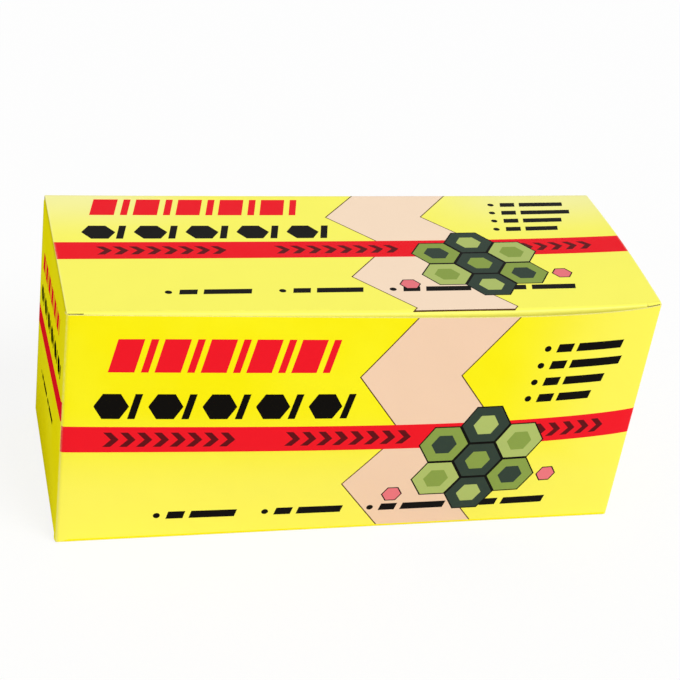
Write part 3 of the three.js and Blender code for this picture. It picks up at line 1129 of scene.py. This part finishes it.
def add_tab(shell, place):
    """A kraft tab, punched near its free end, which lifts a little."""
    hole_x = tab_end - tab_half
    outline = tab_outline()
    angles = [math.atan2(y, x - hole_x) for x, y in outline]
    ring = [(hole_x + tab_hole * math.cos(a), tab_hole * math.sin(a)) for a in angles]
    loops = []
    for share in tab_loops:
        down = tab_edge if share in (0, 1) else 0
        loop = [(lerp(a[0], b[0], share), lerp(a[1], b[1], share)) for a, b in zip(ring, outline)]
        loops.append([(x, y, down) for x, y in loop])
    for loop in reversed(loops[:]):
        loops.append([(x, y, tab_sheet - tab_lift) for x, y, down in loop])
    count = len(outline)
    points = []
    for x, y, down in (point for loop in loops for point in loop):
        lifted = tab_lift * ((x - tab_start) / (tab_end - tab_start)) ** 2
        points.append(Vector((x, y, tab_high.z - tab_lift - down + lifted)))
    faces = []
    for j in range(len(loops)):
        below = (j + 1) % len(loops)
        for i in range(count):
            after = (i + 1) % count
            faces.append((j * count + i, below * count + i, below * count + after, j * count + after))
    maps = [[points[n].xy for n in face] for face in faces]
    shell.add([place @ point for point in points], faces, maps, [kraft_card] * len(faces))


def add_tack(shell, place):
    """A domed head on a pin with a point."""
    low, high = tack_low.z, tack_high.z
    r = tack_radius
    under = high - head_thickness
    rim = under + head_thickness * head_rim_share
    tip = (pin_radius * pin_tip_shares[0], low + pin_point * pin_tip_shares[1])
    profile = [(0, low), tip, (pin_radius, low + pin_point)]
    profile += [(pin_radius, under), (r * head_foot_share, under), (r, rim)]
    profile += [(r * math.cos(a), rim + (high - rim) * math.sin(a)) for a in np.radians(spread(0, 84, 7))]
    profile += [(0, high)]
    add_lathe(shell, profile, place @ Matrix.Translation((tack_x, 0, 0)), tack_brass, tack_sides)


def add_roll(shell, place):
    """Ribbon wound on itself: a thick ring whose ends show the winding."""
    add_lathe(shell, rounded_ring(core_radius, roll_radius, roll_low.z, roll_high.z), place, sticky_ribbon)
    beads = int((roll_radius - core_radius) / (2 * ribbon_sheet)) - 1
    for height, turn in ((roll_high.z, 1), (roll_low.z, -1)):
        sunk = height - turn * rim_round
        for i in range(beads):
            inner = core_radius + (2 * i + first_winding) * ribbon_sheet
            bead = [(inner, sunk), (inner + ribbon_sheet / 2, height), (inner + ribbon_sheet, sunk)]
            add_lathe(shell, bead[::-turn], place, sticky_ribbon)


def add_leader(shell, place):
    """The ribbon's free end, twisted where it stands in the roll's core."""
    signs = ((-1, -1), (0, -1), (1, -1), (1, 1), (0, 1), (-1, 1))
    section = [(leader_width / 2 * x, ribbon_sheet / 2 * y) for x, y in signs]
    count = len(section)
    heights = [leader_low.z, *spread(leader_low.z, leader_high.z, leader_steps)]
    points = []
    for step, z in enumerate(heights):
        turned = Matrix.Rotation(2 * math.pi * leader_turns * step / leader_steps, 4, "Z")
        points += [place @ Matrix.Translation((0, 0, z)) @ turned @ Vector((x, y, 0)) for x, y in section]
    faces, maps = [], []
    for step in range(leader_steps):
        for i in range(count):
            k = (i + 1) % count
            corners = ((i, 0), (k, 0), (k, 1), (i, 1))
            faces.append([(step + up) * count + n for n, up in corners])
            maps.append([(sum(section[n]), heights[step + up]) for n, up in corners])
    faces += [range(count)[::-1], range(leader_steps * count, (leader_steps + 1) * count)]
    maps += [section[::-1], section]
    shell.add(points, faces, maps, [sticky_ribbon] * len(faces))


def build_piece(name, body, node, slot_name, place, *adds):
    """A trap's piece at a place. adds are the functions that draw it."""
    shell = Shell()
    for add in adds:
        add(shell, place)
    piece = shell.make(name)
    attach(piece, body)
    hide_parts(node)


def trap_place(node, row, column):
    """Where a trap stands and how it is turned about its axis."""
    low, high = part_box(node)
    middle = (low + high) / 2
    turn = turn_step * (row * row_length + column - open_column)
    return Matrix.Translation((middle.x, middle.y, 0)) @ Matrix.Rotation(turn, 4, "Z")


def add_open_trap():
    place = Matrix.Translation((axis.x, axis.y, 0))
    for part, add, body, slot_name in (
        ("tube", add_tube, "trap", "tube_paper"),
        ("base_cap", add_base_cap, "trap", "cap_card"),
        ("ribbon_roll", add_roll, "trap", "sticky_ribbon"),
        ("ribbon_leader", add_leader, "trap_pull", "sticky_ribbon"),
        ("cap", add_cap, "trap_pull", "cap_card"),
        ("hang_tab", add_tab, "trap_pull", "kraft_card"),
        ("tack", add_tack, "trap_pull", "tack_brass"),
    ):
        build_piece(f"open_trap_{part}", body, f"{open_trap}_{part}", slot_name, place, add)


def add_closed_traps():
    for column in range(row_length):
        if column == open_column:
            continue
        number = column + 1
        first = f"front_trap_{number}"
        place = trap_place(f"{first}_tube", 0, column)
        build_piece(f"trap_tube_{number}", "carton", f"{first}_tube", "tube_paper", place, add_tube)
        build_piece(f"trap_cap_{number}", "carton", f"{first}_cap", "cap_card", place, add_cap, add_tab)
        build_piece(f"trap_tack_{number}", "carton", f"{first}_tack", "tack_brass", place, add_tack)
    for row, name in ((1, "middle"), (2, "back")):
        for column in range(row_length):
            number = column + 1
            node = f"{name}_trap_{number}"
            place = trap_place(node, row, column)
            adds = (add_tube, add_cap, add_tab, add_tack)
            build_piece(f"{name}_row_trap_{number}", "carton", node, "tube_paper", place, *adds)


add_open_trap()
add_closed_traps()


# Stage


def seen_directly(tree):
    """1 for what the camera, a reflection or a clear surface sees."""
    path = tree.nodes.new("ShaderNodeLightPath")
    rays = ("Camera", "Glossy", "Transmission")
    camera, glossy, clear = (Value(tree, path.outputs[f"Is {ray} Ray"]) for ray in rays)
    return camera.most(glossy).most(clear)


def add_floor():
    """A white floor that shows a soft shadow."""
    mesh = bpy.data.meshes.new("floor")
    signs = ((-1, -1), (1, -1), (1, 1), (-1, 1))
    corners = [(x * floor_reach, y * floor_reach, -floor_drop) for x, y in signs]
    mesh.from_pydata(corners, [], [(0, 1, 2, 3)])
    floor = bpy.data.objects.new("floor", mesh)
    bpy.context.scene.collection.objects.link(floor)
    material = bpy.data.materials.new("floor_white")
    material.use_nodes = True
    tree = material.node_tree
    shader = tree.nodes["Principled BSDF"]
    shader.inputs["Base Color"].default_value = linear(250, 250, 250)
    shader.inputs["Roughness"].default_value = 0.9
    shader.inputs["Specular IOR Level"].default_value = 0
    glow = tree.nodes.new("ShaderNodeEmission")
    glow.inputs["Strength"].default_value = floor_white
    mix = tree.nodes.new("ShaderNodeMixShader")
    share = seen_directly(tree) * floor_glow
    tree.links.new(share.socket, mix.inputs["Fac"])
    tree.links.new(shader.outputs["BSDF"], mix.inputs[1])
    tree.links.new(glow.outputs["Emission"], mix.inputs[2])
    tree.links.new(mix.outputs["Shader"], tree.nodes["Material Output"].inputs["Surface"])
    mesh.materials.append(material)


def add_world():
    world = bpy.data.worlds.new("studio")
    bpy.context.scene.world = world
    world.use_nodes = True
    tree = world.node_tree
    background = tree.nodes["Background"]
    background.inputs["Color"].default_value = (1, 1, 1, 1)
    strength = seen_directly(tree) * (1 - sky_light) + sky_light
    tree.links.new(strength.socket, background.inputs["Strength"])


def add_key():
    data = bpy.data.lights.new("key", "SUN")
    data.angle = key_angle
    data.energy = key_light
    key = bpy.data.objects.new("key", data)
    key.rotation_euler = Vector(key_from).to_track_quat("Z", "Y").to_euler()
    bpy.context.scene.collection.objects.link(key)


add_floor()
add_world()
add_key()

bpy.context.scene.view_settings.view_transform = "Standard"
